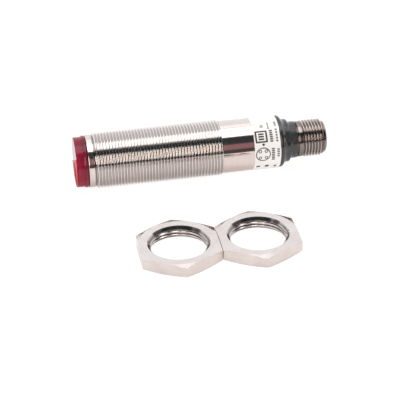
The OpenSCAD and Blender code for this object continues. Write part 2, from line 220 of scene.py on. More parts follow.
def threaded(name, outline, start, end, radius, count):
    """A turned part with a real thread from start to end. outline holds the (along, r)
    points of the rest, from the thread's end round to its start."""
    angles = even_angles(count)
    verts, faces = thread_sheet(start, end, radius, angles, about_x)
    base = len(verts)
    verts += [about_x(x, r, a) for x, r in outline for a in angles]
    faces += ring_faces(len(outline), count, True, base)
    return make_object(name, verts, faces)


# What lies further out than this from the bore is the outside of a threaded part.
BORE_MARGIN = 0.3


def paint_thread(obj, plain, thread_finish_and_shade, start, end, bore):
    """One material for the whole part, and another for its outside between two stations, which
    carries painted shade in the thread's roots.
    """
    obj.data.materials.append(plain)
    obj.data.materials.append(thread_finish_and_shade)
    for face in obj.data.polygons:
        x, r = face.center.x / MM, math.hypot(face.center.y, face.center.z) / MM
        face.material_index = int(start < x < end and r > bore + BORE_MARGIN)


def roll_with_sensor(obj):
    """Turns a piece made upright to the angle at which the sensor lies."""
    obj.data.transform(Matrix.Rotation(ROLL, 4, "X"))
    return obj


# ---------------------------------------------------------------- materials


def link(tree, a, out, b, into):
    """Joins output out of node a to input into of node b."""
    tree.links.new(a.outputs[out], b.inputs[into])


def noise_node(tree, scale, stretch, detail=4.0):
    """Noise in the object's own space; stretch makes it run into lines."""
    where = tree.nodes.new("ShaderNodeTexCoord")
    mapping = tree.nodes.new("ShaderNodeMapping")
    mapping.inputs["Scale"].default_value = stretch
    noise = tree.nodes.new("ShaderNodeTexNoise")
    noise.inputs["Scale"].default_value = scale
    noise.inputs["Detail"].default_value = detail
    link(tree, where, "Object", mapping, "Vector")
    link(tree, mapping, "Vector", noise, "Vector")
    return noise


def shade_by_radius(tree, colour, centre, across, stops):
    """Multiplies a colour by a share that depends on the distance from an axis: painted shade
    that darkens the bottom of a thread, and a painted highlight where a share is over 1. stops
    are (radius in mm, share)."""
    where = tree.nodes.new("ShaderNodeTexCoord")
    mapping = tree.nodes.new("ShaderNodeMapping")
    mapping.inputs["Scale"].default_value = across
    mapping.inputs["Location"].default_value = [-c * s for c, s in zip(centre, across)]
    length = tree.nodes.new("ShaderNodeVectorMath")
    length.operation = "LENGTH"
    spread = tree.nodes.new("ShaderNodeMapRange")
    first, last = stops[0][0], stops[-1][0]
    spread.inputs["From Min"].default_value = first * MM
    spread.inputs["From Max"].default_value = last * MM
    ramp = tree.nodes.new("ShaderNodeValToRGB")
    elements = ramp.color_ramp.elements
    for element, (radius, share) in zip((elements[0], elements[1]), (stops[0], stops[-1])):
        element.position = (radius - first) / (last - first)
        element.color = (share, share, share, 1)
    for radius, share in stops[1:-1]:
        elements.new((radius - first) / (last - first)).color = (share, share, share, 1)
    multiply = tree.nodes.new("ShaderNodeMix")
    multiply.data_type = "RGBA"
    multiply.blend_type = "MULTIPLY"
    multiply.inputs["Factor"].default_value = 1.0
    link(tree, where, "Object", mapping, "Vector")
    link(tree, mapping, "Vector", length, 0)
    link(tree, length, "Value", spread, "Value")
    link(tree, spread, "Result", ramp, "Fac")
    tree.links.new(colour, multiply.inputs["A"])
    link(tree, ramp, "Color", multiply, "B")
    return multiply.outputs["Result"]


def finish_material(
    name, dark, light, rough, metallic=0.0, grain=900.0, stretch=(1, 1, 1),
    bump=0.000002, bump_grain=4000.0, bump_strength=0.3, shade=None, **sockets
):
    """A Principled material whose colour, roughness and surface vary by noise.
    dark and light are the ends of its colour, and rough the ends of its roughness.
    shade holds the centre, axes and stops for shade_by_radius, which paints shade into the
    colour."""
    material = bpy.data.materials.new(name)
    material.use_nodes = True
    tree = material.node_tree
    shader = tree.nodes["Principled BSDF"]
    shader.inputs["Metallic"].default_value = metallic
    for socket, value in sockets.items():
        shader.inputs[socket.replace("_", " ")].default_value = value

    tint = noise_node(tree, grain, stretch)
    ramp = tree.nodes.new("ShaderNodeValToRGB")
    ramp.color_ramp.elements[0].position = 0.35
    ramp.color_ramp.elements[0].color = (*dark, 1)
    ramp.color_ramp.elements[1].position = 0.65
    ramp.color_ramp.elements[1].color = (*light, 1)
    link(tree, tint, "Fac", ramp, "Fac")
    colour = ramp.outputs["Color"]
    if shade:
        colour = shade_by_radius(tree, colour, *shade)
    tree.links.new(colour, shader.inputs["Base Color"])

    wear = noise_node(tree, grain * 0.4, stretch)
    spread = tree.nodes.new("ShaderNodeMapRange")
    spread.inputs["From Min"].default_value = 0.3
    spread.inputs["From Max"].default_value = 0.7
    spread.inputs["To Min"].default_value = rough[0]
    spread.inputs["To Max"].default_value = rough[1]
    link(tree, wear, "Fac", spread, "Value")
    link(tree, spread, "Result", shader, "Roughness")

    relief = noise_node(tree, bump_grain, stretch)
    bumps = tree.nodes.new("ShaderNodeBump")
    bumps.inputs["Distance"].default_value = bump
    bumps.inputs["Strength"].default_value = bump_strength
    link(tree, relief, "Fac", bumps, "Height")
    link(tree, bumps, "Normal", shader, "Normal")
    return material


# Fine grain across the axis, as turning and plating leave it. Each plating is its dark and
# light colour, its range of roughness and its metallic share.
TURNED = (30, 1, 1)
NICKEL = ((0.74, 0.66, 0.63), (0.80, 0.715, 0.68), (0.07, 0.13), 1.0)
# The thread's plating is lighter than the plain nickel: a painted highlight on its crests.
THREAD_NICKEL_WITH_HIGHLIGHT = ((0.79, 0.745, 0.725), (0.85, 0.800, 0.780), (0.07, 0.12), 1.0)
# The plug's plain parts are painted darker than its thread: painted shade on the neck.
SHADED_PLUG_NICKEL = ((0.24, 0.205, 0.19), (0.31, 0.265, 0.25), (0.12, 0.20), 1.0)
PLUG_THREAD_NICKEL = ((0.52, 0.46, 0.43), (0.60, 0.53, 0.50), (0.12, 0.20), 1.0)
NUT_NICKEL = ((0.74, 0.67, 0.645), (0.80, 0.735, 0.71), (0.10, 0.17), 1.0)
# Painted shade: how much darker the plating is painted towards the threads' roots, the barrel's
# undercut and the nuts' countersinks, and on the plug a painted highlight on the crests: (radius
# in mm, share).
ON_AXIS, ABOUT_X, ABOUT_Z = (0, 0, 0), (0, 1, 1), (1, 1, 0)
BARREL_GROOVE_SHADE = (ON_AXIS, ABOUT_X, [(8.2, 0.4), (8.33, 0.72), (8.7, 0.84), (8.93, 1.0)])
PLUG_GROOVE_SHADE_AND_HIGHLIGHT = (ON_AXIS, ABOUT_X, [(5.4, 0.5), (5.75, 0.7), (5.95, 1.15)])
NUT_GROOVE_SHADE = [(8.46, 1.0), (8.6, 0.7), (8.85, 0.34), (9.0, 0.42), (9.3, 0.8), (9.5, 1.0)]

nickel = finish_material(
    "nickel_plate", *NICKEL, grain=120, stretch=TURNED, bump=0.0000015, bump_grain=200
)
# The barrel's thread: painted shade in its roots and undercut, and lighter crests as a painted
# highlight.
thread_nickel_painted_shade = finish_material(
    "thread_nickel_painted_shade", *THREAD_NICKEL_WITH_HIGHLIGHT, grain=120, stretch=TURNED, bump=0.0000015, bump_grain=200,
    shade=BARREL_GROOVE_SHADE,
)
# Painted shade: the plug's plain parts, darker than its thread for the shadow on the neck.
plug_nickel = finish_material(
    "plug_nickel", *SHADED_PLUG_NICKEL, grain=120, stretch=TURNED, bump=0.000002, bump_grain=260
)
# The plug's thread: painted shade in its roots and a painted highlight on its crests.
plug_thread_nickel_painted_shade = finish_material(
    "plug_thread_nickel_painted_shade", *PLUG_THREAD_NICKEL, grain=120, stretch=TURNED, bump=0.000002,
    bump_grain=260, shade=PLUG_GROOVE_SHADE_AND_HIGHLIGHT,
)
red_lens = finish_material(
    "red_lens", (0.33, 0.012, 0.045), (0.41, 0.018, 0.060), (0.05, 0.10),
    grain=150, bump=0.000001, Transmission_Weight=0.4, IOR=1.35,
)
red_window = finish_material(
    "red_window", (0.58, 0.035, 0.055), (0.66, 0.050, 0.072), (0.25, 0.35),
    grain=150, bump=0.000001, Transmission_Weight=0.25, IOR=1.14,
)
# Near-black red for the lens cap's edges: painted shade for the dark lines at its joint, step and
# front edge.
red_edge_painted_shade = finish_material(
    "red_edge_painted_shade", (0.045, 0.004, 0.012), (0.07, 0.006, 0.018), (0.15, 0.25),
    grain=150, bump=0.000001,
)
smoke_plastic = finish_material(
    "smoke_plastic", (0.030, 0.033, 0.037), (0.050, 0.054, 0.058), (0.10, 0.18),
    grain=300, bump=0.000003, Transmission_Weight=0.2, IOR=1.55, Coat_Weight=0.3,
)
label_foil = finish_material(
    "label_foil", (0.92, 0.92, 0.92), (0.95, 0.95, 0.95), (0.22, 0.30),
    grain=400, bump=0.000002,
)
label_ink = finish_material(
    "label_ink", (0.02, 0.02, 0.022), (0.05, 0.05, 0.052), (0.35, 0.45),
    grain=3000, bump=0.000001,
)
label_grey_ink = finish_material(
    "label_grey_ink", (0.10, 0.10, 0.105), (0.16, 0.16, 0.165), (0.35, 0.45),
    grain=3000, bump=0.000001,
)

# Finish of each CAD node that stays as it is: dark, light, roughness, metallic, sockets.
CLEAR = {"Transmission_Weight": 1.0, "IOR": 1.49}
BLACK = ((0.010, 0.010, 0.011), (0.022, 0.022, 0.024))
RUBBER = (*BLACK, (0.45, 0.6), 0.0, {})
CHIP = (*BLACK, (0.4, 0.55), 0.0, {})
GLASSY = ((0.92, 0.85, 0.87), (0.96, 0.9, 0.92), (0.02, 0.05), 0.0, CLEAR)
GOLD = ((0.86, 0.60, 0.22), (0.93, 0.68, 0.28), (0.12, 0.2), 1.0, {})
NODE_FINISHES = {
    "lens_seal": RUBBER,
    "end_cap_seal": RUBBER,
    "emitter_polariser": ((0.10, 0.02, 0.04), (0.14, 0.03, 0.05), (0.1, 0.2), 0.0, {}),
    "receiver_polariser": ((0.07, 0.05, 0.07), (0.10, 0.08, 0.10), (0.1, 0.2), 0.0, {}),
    "emitter_lens": GLASSY,
    "receiver_lens": GLASSY,
    "optics_holder": (*BLACK, (0.3, 0.45), 0.0, {}),
    "emitter_led": ((0.72, 0.20, 0.20), (0.80, 0.26, 0.26), (0.1, 0.2), 0.0, {}),
    "receiver_photodiode": (*BLACK, (0.3, 0.4), 0.0, {}),
    "inner_sleeve": ((0.62, 0.59, 0.50), (0.70, 0.67, 0.58), (0.5, 0.6), 0.0, {}),
    "main_board": ((0.010, 0.12, 0.045), (0.016, 0.17, 0.065), (0.25, 0.4), 0.0, {}),
    "amplifier_chip": CHIP,
    "shield_can": ((0.70, 0.70, 0.68), (0.78, 0.78, 0.76), (0.2, 0.3), 1.0, {}),
    "control_chip": CHIP,
    "voltage_regulator": CHIP,
    "output_transistors": CHIP,
    "protection_diodes": CHIP,
    "filter_capacitor": ((0.50, 0.28, 0.03), (0.62, 0.36, 0.05), (0.35, 0.5), 0.0, {}),
    "chip_capacitors": ((0.36, 0.22, 0.10), (0.46, 0.29, 0.14), (0.4, 0.5), 0.0, {}),
    "chip_resistors": (*BLACK, (0.3, 0.45), 0.0, {}),
    "power_led": ((0.18, 0.60, 0.20), (0.24, 0.72, 0.26), (0.1, 0.2), 0.0, {}),
    "output_led": ((0.75, 0.45, 0.05), (0.86, 0.55, 0.08), (0.1, 0.2), 0.0, {}),
    "contact_carrier": (*BLACK, (0.35, 0.5), 0.0, {}),
    "contact_pin_1": GOLD,
    "contact_pin_2": GOLD,
    "contact_pin_3": GOLD,
    "contact_pin_4": GOLD,
    "lead_brown": ((0.13, 0.05, 0.02), (0.17, 0.07, 0.03), (0.4, 0.5), 0.0, {}),
    "lead_white": ((0.76, 0.75, 0.72), (0.82, 0.81, 0.78), (0.4, 0.5), 0.0, {}),
    "lead_blue": ((0.02, 0.08, 0.34), (0.03, 0.11, 0.42), (0.4, 0.5), 0.0, {}),
    "lead_black": (*BLACK, (0.4, 0.5), 0.0, {}),
}
for node, (dark, light, rough, metallic, sockets) in NODE_FINISHES.items():
    made = finish_material(node, dark, light, rough, metallic, **sockets)
    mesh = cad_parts[node].data
    mesh.materials.clear()
    mesh.materials.append(made)


# ---------------------------------------------------------------- sensor

# Stations along the axis in millimetres: the ends of the barrel, the end cap and the plug
# come from the frame. The thread is centred on the frame's origin.
THREAD_X0, THREAD_X1 = -20.5, 20.5
JOINT_X, REAR_X = end_x("barrel", 0), end_x("barrel", 1)
CAP_X1 = end_x("end_cap", 1)
PLUG_X0, PLUG_X1 = end_x("connector_shell", 0), end_x("connector_shell", 1)
BORE_R, PLAIN_R = 7.5, 8.5
CREST_R, ROOT_R = 9.0, 8.3866
UNDERCUT_LEN, UNDERCUT_R = 0.35, 8.2
BARREL_EDGE = 0.12
# Slopes of the cones in which the threads run out, and how far one part's paint laps over.
RUN_OUT, TIP_RUN_OUT = 2.0, 1.6
PAINT_LAP = 0.02


def barrel_radius(x, height):
    """The barrel's thread, running out into the undercut in front and the plain part behind."""
    ridge = ROOT_R + (CREST_R - ROOT_R) * height
    front_roof = UNDERCUT_R + RUN_OUT * (x - THREAD_X0)
    rear_roof = PLAIN_R + RUN_OUT * (THREAD_X1 - x)
    rear_floor = PLAIN_R - RUN_OUT * (THREAD_X1 - x)
    return min(front_roof, rear_roof, max(rear_floor, ridge))


undercut_x0 = THREAD_X0 - UNDERCUT_LEN
barrel_outline = [
    (THREAD_X1, PLAIN_R), (REAR_X, PLAIN_R), (REAR_X, BORE_R), (JOINT_X, BORE_R),
    (JOINT_X, PLAIN_R - BARREL_EDGE), (JOINT_X + BARREL_EDGE, PLAIN_R), (undercut_x0, PLAIN_R),
    (undercut_x0, UNDERCUT_R), (THREAD_X0, UNDERCUT_R),
]
barrel = threaded(
    "barrel_shell", soften(barrel_outline, BARREL_EDGE), THREAD_X0, THREAD_X1, barrel_radius, 160
)
paint_thread(barrel, nickel, thread_nickel_painted_shade, undercut_x0 - PAINT_LAP, THREAD_X1, BORE_R)
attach(barrel, "sensor")
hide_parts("barrel")

PLUG_CREST_R, PLUG_ROOT_R = 6.0, 5.3866
NECK_R, SHOULDER_R, TIP_R, ANCHOR_R, SOCKET_R = 5.2, 5.8, 5.15, 5.7, 4.3
ANCHOR_LEN, SHOULDER_GAP, TIP_EDGE = 1.3, 0.3, 0.35
PLUG_THREAD_X0, PLUG_THREAD_X1 = 47.50, 54.60


def plug_radius(x, height):
    """The plug's thread, running out into the shoulder in front and the tip behind."""
    ridge = PLUG_ROOT_R + (PLUG_CREST_R - PLUG_ROOT_R) * height
    front_roof = SHOULDER_R + RUN_OUT * (x - PLUG_THREAD_X0)
    front_floor = SHOULDER_R - RUN_OUT * (x - PLUG_THREAD_X0)
    rear_roof = TIP_R + TIP_RUN_OUT * (PLUG_THREAD_X1 - x)
    return min(front_roof, rear_roof, max(front_floor, ridge))


anchor_x1 = PLUG_X0 + ANCHOR_LEN
shoulder_x0 = CAP_X1 + SHOULDER_GAP
plug_outline = [
    (PLUG_THREAD_X1, TIP_R), (PLUG_X1 - TIP_EDGE, TIP_R), (PLUG_X1, TIP_R - TIP_EDGE),
    (PLUG_X1, SOCKET_R), (PLUG_X0, SOCKET_R), (PLUG_X0, ANCHOR_R), (anchor_x1, ANCHOR_R),
    (anchor_x1, NECK_R), (shoulder_x0, NECK_R), (shoulder_x0, SHOULDER_R),
    (PLUG_THREAD_X0, SHOULDER_R),
]
plug = threaded(
    "plug_shell", soften(plug_outline, 0.1), PLUG_THREAD_X0, PLUG_THREAD_X1, plug_radius, 128
)
paint_thread(plug, plug_nickel, plug_thread_nickel_painted_shade, PLUG_THREAD_X0, PLUG_THREAD_X1, SOCKET_R)
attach(plug, "sensor")
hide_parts("connector_shell")

# Lens cap: rim, cup and spigot turned in one outline, then the raised D window, with a
# shallow round dish in it. The window is the part's foremost face.
WINDOW_R, WINDOW_TOP, WINDOW_STEP = 7.9, 0.8, 0.2
WINDOW_ROOT, WINDOW_STEPS = 0.3, 96
FACE_X = end_x("lens_cap", 0) + WINDOW_STEP
LENS_RIM_R, LENS_FRONT_R, RIM_LEN, RIM_EDGE = 8.35, 8.05, 1.2, 0.3
SPIGOT_R, SPIGOT_LEN, LENS_WALL_R, PLATE_X = 7.4, 4.0, 6.65, -25.0
GROOVE_R, GROOVE_HALF = 6.89, 0.45
GROOVE_FROM_JOINT = 2.0
DISH_R, DISH_Z = 3.7, -3.6
# The dish's profile: depth behind the window's face, and radius left out of DISH_R.
DISH_PROFILE = [(-0.5, 0.0), (0.0, 0.0), (0.3, 0.25), (0.4, 0.6), (0.5, 1.7), (0.54, 3.3)]
rim_x0 = JOINT_X - RIM_LEN
lens_groove_x = JOINT_X + GROOVE_FROM_JOINT
lens_outline = [
    (FACE_X, 0.0), (FACE_X, LENS_FRONT_R), (rim_x0, LENS_FRONT_R), (rim_x0, LENS_RIM_R),
    (JOINT_X - RIM_EDGE, LENS_RIM_R), (JOINT_X, LENS_RIM_R - RIM_EDGE),
    (JOINT_X, SPIGOT_R),
    (lens_groove_x - GROOVE_HALF, SPIGOT_R), (lens_groove_x - GROOVE_HALF, GROOVE_R),
    (lens_groove_x + GROOVE_HALF, GROOVE_R), (lens_groove_x + GROOVE_HALF, SPIGOT_R),
    (JOINT_X + SPIGOT_LEN, SPIGOT_R), (JOINT_X + SPIGOT_LEN, LENS_WALL_R),
    (PLATE_X, LENS_WALL_R), (PLATE_X, 0.0),
]


def window_ring(x, inset):
    """The D outline at x: an arc closed by a straight edge near the axis."""
    r, top = WINDOW_R - inset, WINDOW_TOP - inset
    half = math.acos(top / r)
    arc = [half + (TAU - 2 * half) * k / WINDOW_STEPS for k in range(WINDOW_STEPS + 1)]
    return [(x, -r * math.sin(a), r * math.cos(a)) for a in arc]


def merge(cup, tool, operation):
    """Joins a solid to the cup, or cuts it away, as one clean mesh."""
    change = cup.modifiers.new("change", "BOOLEAN")
    change.operation = operation
    change.solver = "EXACT"
    change.object = tool
    graph = bpy.context.evaluated_depsgraph_get()
    mesh = bpy.data.meshes.new_from_object(cup.evaluated_get(graph))
    cup.modifiers.remove(change)
    cup.data = mesh
    bpy.data.objects.remove(tool)
    bm = bmesh.new()
    bm.from_mesh(mesh)
    bmesh.ops.remove_doubles(bm, verts=bm.verts, dist=1e-8)
    set_sharpness(bm, 30)
    bm.to_mesh(mesh)
    bm.free()


def stacked_solid(name, rings):
    """A closed solid through rings of points, with a flat face at each end."""
    width = len(rings[0])
    verts = [point for ring in rings for point in ring]
    faces = ring_faces(len(rings), width, True)
    faces += [tuple(range(width)), tuple(range(len(verts) - width, len(verts)))]
    return make_object(name, verts, faces, weighted=False)


def dish_ring(x, r):
    return [(x, r * math.cos(a), DISH_Z + r * math.sin(a)) for a in even_angles(WINDOW_STEPS)]


def raise_window(cup):
    """Adds the D window to the cup's face, with the round dish of the lens in it."""
    front = FACE_X - WINDOW_STEP
    rings = [window_ring(FACE_X + WINDOW_ROOT, 0.0), window_ring(FACE_X - 0.12, 0.0)]
    rings += [window_ring(FACE_X - 0.18, 0.03), window_ring(front, 0.09)]
    merge(cup, stacked_solid("window_tool", rings), "UNION")
    rings = [dish_ring(front + depth, DISH_R - less) for depth, less in DISH_PROFILE]
    merge(cup, stacked_solid("dish_tool", rings), "DIFFERENCE")


LENS_BODY, LENS_WINDOW, LENS_EDGE_SHADE = 0, 1, 2


def lens_part(x, r):
    """Which of the cup's three finishes a face at (x, r) has: the clear body, the paler window
    and its dish, or a near-black red painted on the joint, the rim's step and the front edge as
    painted shade, for the dark line that a clear plastic shows there."""
    at_step = abs(x - rim_x0) < 0.1 and r > LENS_FRONT_R - 0.01
    at_joint = x > JOINT_X - RIM_EDGE and r > SPIGOT_R + 0.2
    at_front = x < FACE_X + 0.13 and r > LENS_FRONT_R - 0.13
    if at_step or at_joint or at_front:
        return LENS_EDGE_SHADE
    on_face = abs(x - FACE_X) < 0.01
    in_dish = x < FACE_X + 0.4 and r < LENS_WALL_R + 0.9 and not on_face
    return LENS_WINDOW if x < FACE_X - 0.03 or in_dish else LENS_BODY


LENS_COLUMNS = 144
lens_points = soften(lens_outline, 0.14)
verts = [about_x(x, r, a) for x, r in lens_points for a in even_angles(LENS_COLUMNS)]
lens_cap = make_object(
    "lens_cup", verts, ring_faces(len(lens_points), LENS_COLUMNS, True), weighted=False
)
raise_window(lens_cap)
keep_flats_flat(lens_cap)
roll_with_sensor(lens_cap)
lens_cap.data.materials.clear()
for made in (red_lens, red_window, red_edge_painted_shade):
    lens_cap.data.materials.append(made)
for face in lens_cap.data.polygons:
    x, y, z = (c / MM for c in face.center)
    face.material_index = lens_part(x, math.hypot(y, z))
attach(lens_cap, "sensor")
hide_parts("lens_cap")

# End cap: spigot, flange, sloped shoulder, step and a rear ring with two flats.
FLAT_TURN, FLAT_R = math.radians(53), 5.8
CAP_FLANGE_R, CAP_SLOPE_R, CAP_STEP_R, CAP_RING_R = 8.45, 7.15, 7.0, 6.0
CAP_BORE_R, ANCHOR_ROOM_R, NECK_ROOM_R = 6.4, 5.75, 5.25
FLANGE_LEN, SLOPE_LEN, STEP_FROM, STEP_LEN = 1.0, 1.1, 2.5, 1.1
RING_X0, RING_LEAD, FLATS_FROM = 43.5, 0.3, 0.4
anchor_room_x1 = anchor_x1 + 0.05
flange_x1 = REAR_X + FLANGE_LEN
cap_groove_x = REAR_X - GROOVE_FROM_JOINT
cap_outline = [
    (REAR_X - SPIGOT_LEN, CAP_BORE_R), (REAR_X - SPIGOT_LEN, SPIGOT_R),
    (cap_groove_x - GROOVE_HALF, SPIGOT_R), (cap_groove_x - GROOVE_HALF, GROOVE_R),
    (cap_groove_x + GROOVE_HALF, GROOVE_R), (cap_groove_x + GROOVE_HALF, SPIGOT_R),
    (REAR_X, SPIGOT_R), (REAR_X, CAP_FLANGE_R), (flange_x1, CAP_FLANGE_R),
    (flange_x1 + SLOPE_LEN, CAP_SLOPE_R), (REAR_X + STEP_FROM, CAP_STEP_R),
    (REAR_X + STEP_FROM + STEP_LEN, CAP_STEP_R), (RING_X0, CAP_RING_R + 0.15),
    (RING_X0 + RING_LEAD, CAP_RING_R), (RING_X0 + FLATS_FROM - 0.001, CAP_RING_R),
    (RING_X0 + FLATS_FROM + 0.001, CAP_RING_R), (CAP_X1, CAP_RING_R), (CAP_X1, NECK_ROOM_R),
    (anchor_room_x1, NECK_ROOM_R), (anchor_room_x1, ANCHOR_ROOM_R),
    (flange_x1, ANCHOR_ROOM_R), (flange_x1, CAP_BORE_R),
]


def cap_shape(x, r, a):
    """Cuts the two flats into the outside of the rear ring."""
    if x < RING_X0 + FLATS_FROM or r < (NECK_ROOM_R + ANCHOR_ROOM_R) / 2:
        return r
    turned = math.cos(a - FLAT_TURN)
    return min(r, FLAT_R / max(abs(turned), 0.1))


end_cap = revolve("end_cap_shell", loop_soften(cap_outline, 0.3), 192, cap_shape)
roll_with_sensor(end_cap)
end_cap.data.materials.append(smoke_plastic)
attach(end_cap, "sensor")
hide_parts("end_cap")

# Label: a wrapped foil with a narrow seam, and plain printed marks.
LABEL_X0, LABEL_X1, FOIL_T = end_x("label", 0), end_x("label", 1), 0.1
SEAM_AT, SEAM_HALF = math.radians(210), math.asin(1.0 / (PLAIN_R + FOIL_T / 2))


GLUE_T, SLAB_EDGE = 0.002, 0.04


def bent_slab(x0, x1, a0, a1, r0, r1, columns):
    """A closed slab bent round the axis, with softened long edges."""
    cut = min(SLAB_EDGE, (r1 - r0) * 0.45)
    section = [
        (x0, r0), (x0, r1 - cut), (x0 + cut, r1), (x1 - cut, r1), (x1, r1 - cut), (x1, r0),
    ]
    spread = [a0 + (a1 - a0) * k / columns for k in range(columns + 1)]
    verts = [about_x(x, r, a) for a in spread for x, r in section]
    width = len(section)
    faces = ring_faces(columns + 1, width, True)
    faces += [tuple(range(width)), tuple(range(len(verts) - width, len(verts)))]
    return verts, faces


def bent_ring(x, around, outer, inner, r0, r1, count=40):
    """A closed flat ring (or disc when inner is 0) laid on the label."""
    verts = []
    for r, out in ((r0, outer), (r1, outer), (r1, inner), (r0, inner)):
        for t in even_angles(count):
            verts.append(about_x(x + out * math.cos(t), r, around + out * math.sin(t) / r))
    last = 3 * count
    faces = ring_faces(4, count, True)
    faces += [(last + k, last + (k + 1) % count, (k + 1) % count, k) for k in range(count)]
    return verts, faces


def combine(parts):
    """One list of points and one of faces out of many."""
    verts, faces = [], []
    for more, more_faces in parts:
        base = len(verts)
        verts += more
        faces += [tuple(i + base for i in face) for face in more_faces]
    return verts, faces


foil = bent_slab(
    LABEL_X0, LABEL_X1, SEAM_AT + SEAM_HALF, SEAM_AT + TAU - SEAM_HALF,
    PLAIN_R + GLUE_T, PLAIN_R + FOIL_T, 180,
)
label = make_object("label_foil_wrap", *foil)
roll_with_sensor(label)
label.data.materials.append(label_foil)
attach(label, "sensor")
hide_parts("label")

# Printed marks, all of them generic: plain bars, a block with bars and a plug diagram of
# a ring with four dots. Places are along X in mm and around in degrees before the roll.
INK_R0, INK_R1 = PLAIN_R + FOIL_T - 0.01, PLAIN_R + FOIL_T + 0.008


def bar(x0, x1, a0, a1):
    return bent_slab(x0, x1, math.radians(a0), math.radians(a1), INK_R0, INK_R1, 6)


def disc(x, a, outer, inner=0.0):
    return bent_ring(x, math.radians(a), outer, inner, INK_R0, INK_R1)


def dashes(x0, x1, a0, a1, count, gap=0.35):
    """A row of short bars, one after another round the label."""
    step = (a1 - a0) / count
    return [bar(x0, x1, a0 + k * step, a0 + (k + 1 - gap) * step) for k in range(count)]


dark_marks = [bar(31.1, 31.65, 64, 90.5), bar(34.55, 35.1, 64, 90.5)]
dark_marks += [bar(31.66, 34.54, 64, 67.4), bar(31.66, 34.54, 87.1, 90.5)]
dark_marks += [bar(32.2, 34.0, a, a + 3.6) for a in (70, 75.5, 81)]
dark_marks += [disc(33.6, 94.8, 0.42)]
dark_marks += dashes(35.9, 36.9, 64, 92, 6)
dark_marks += dashes(36.2, 37.2, 104, 134, 7)
dark_marks += [bar(31.4, 32.6, 148, 154), bar(34.2, 35.4, 148, 156), bar(37.2, 38.0, 152, 159)]
grey_marks = [disc(33.4, 117, 2.45, 2.10)]
grey_marks += [disc(33.4 + x, 117 + a, 0.58, 0.28) for x in (-1.0, 1.0) for a in (-7.5, 7.5)]
grey_marks += dashes(33.2, 34.3, 50, 57, 2) + dashes(35.6, 36.1, 44, 62, 4)
grey_marks += dashes(37.9, 38.6, 43, 56, 3) + dashes(37.9, 38.5, 62, 93, 5)
grey_marks += dashes(38.0, 38.8, 106, 127, 4)
for name, marks, ink in (
    ("label_dark_marks", dark_marks, label_ink), ("label_grey_marks", grey_marks, label_grey_ink)
):
    print_work = make_object(name, *combine(marks))
    roll_with_sensor(print_work)
    print_work.data.materials.append(ink)
    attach(print_work, "sensor")


# ---------------------------------------------------------------- nuts

NUT_H, NUT_AF_R, NUT_BEVEL_R, MOUTH_R = 4.0, 12.0, 11.9, 9.45
NUT_CREST_R, NUT_ROOT_R = 8.4587, 9.0
NUT_EDGE, NUT_BEVEL_SLOPE = 0.12, math.radians(15)
# How far the mouth's edge and the bevel's edge are rounded off.
MOUTH_EDGE, BEVEL_EDGE = 0.04, 0.02
HALF_SIDE = math.radians(30)
CORNERS = [HALF_SIDE * (2 * k + 1) for k in range(6)]


def hexagon_radius(a):
    """Distance to the hexagon's side at angle a, with a slightly rounded corner."""
    from_flat = (a + HALF_SIDE) % (2 * HALF_SIDE) - HALF_SIDE
    side = NUT_AF_R / math.cos(from_flat)
    from_corner = HALF_SIDE - abs(from_flat)
    rounding = (NUT_AF_R - NUT_EDGE) / math.cos(HALF_SIDE) + NUT_EDGE
    return min(side, rounding - 0.5 * rounding * from_corner * from_corner)


def nut_radius(z, height):
    """The nut's thread, cut back by the countersinks at both mouths."""
    ridge = NUT_ROOT_R + (NUT_CREST_R - NUT_ROOT_R) * height
    mouth = MOUTH_R - min(z, NUT_H - z)
    return max(ridge, mouth)


def bevel_row(angles, share, sunk=0.0):
    """Points of the corner bevel, at a share of the way out to the hexagon's sides."""
    row = []
    for a in angles:
        r = NUT_BEVEL_R + share * (hexagon_radius(a) - NUT_BEVEL_R)
        row.append((NUT_H - (r - NUT_BEVEL_R) * math.tan(NUT_BEVEL_SLOPE) - sunk, r))
    return row


def nut_mesh():
    """Thread, top, bevel and side of a nut; the lower half mirrors the upper one."""
    near_corner = [c + math.radians(d) for c in CORNERS for d in (-0.3, -0.15, 0.15, 0.3)]
    angles = sorted(set(even_angles(192)) | {a % TAU for a in near_corner})
    verts, faces = thread_sheet(0.0, NUT_H, nut_radius, angles, about_z)
    rows = [[(NUT_H, r) for a in angles] for r in (MOUTH_R, MOUTH_R + MOUTH_EDGE, NUT_BEVEL_R)]
    rows += [bevel_row(angles, share) for share in (0.02, 0.5, 0.985)]
    rows.append(bevel_row(angles, 1.0, BEVEL_EDGE))
    rows += [[(NUT_H - z, r) for z, r in row] for row in reversed(rows)]
    base = len(verts)
    verts += [about_z(z, r, a) for row in rows for (z, r), a in zip(row, angles)]
    faces += ring_faces(len(rows), len(angles), True, base)
    return verts, faces


for index in (1, 2):
    node = f"mounting_nut_{index}"
    low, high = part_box(node)
    nut = make_object(f"hexagon_nut_{index}", *nut_mesh(), sharp_deg=13)
    middle = (low + high) / 2
    nut.data.transform(Matrix.Translation((middle.x, middle.y, low.z)))
    # The nuts' plating is painted darker in the thread's roots and countersinks: painted shade.
    nut.data.materials.append(finish_material(
        f"nut_nickel_painted_shade_{index}", *NUT_NICKEL, grain=300, bump=0.000002, bump_grain=900,
        shade=(middle, ABOUT_Z, NUT_GROOVE_SHADE),
    ))
    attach(nut, f"nut_{index}")
    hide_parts(node)


# ---------------------------------------------------------------- floor and light

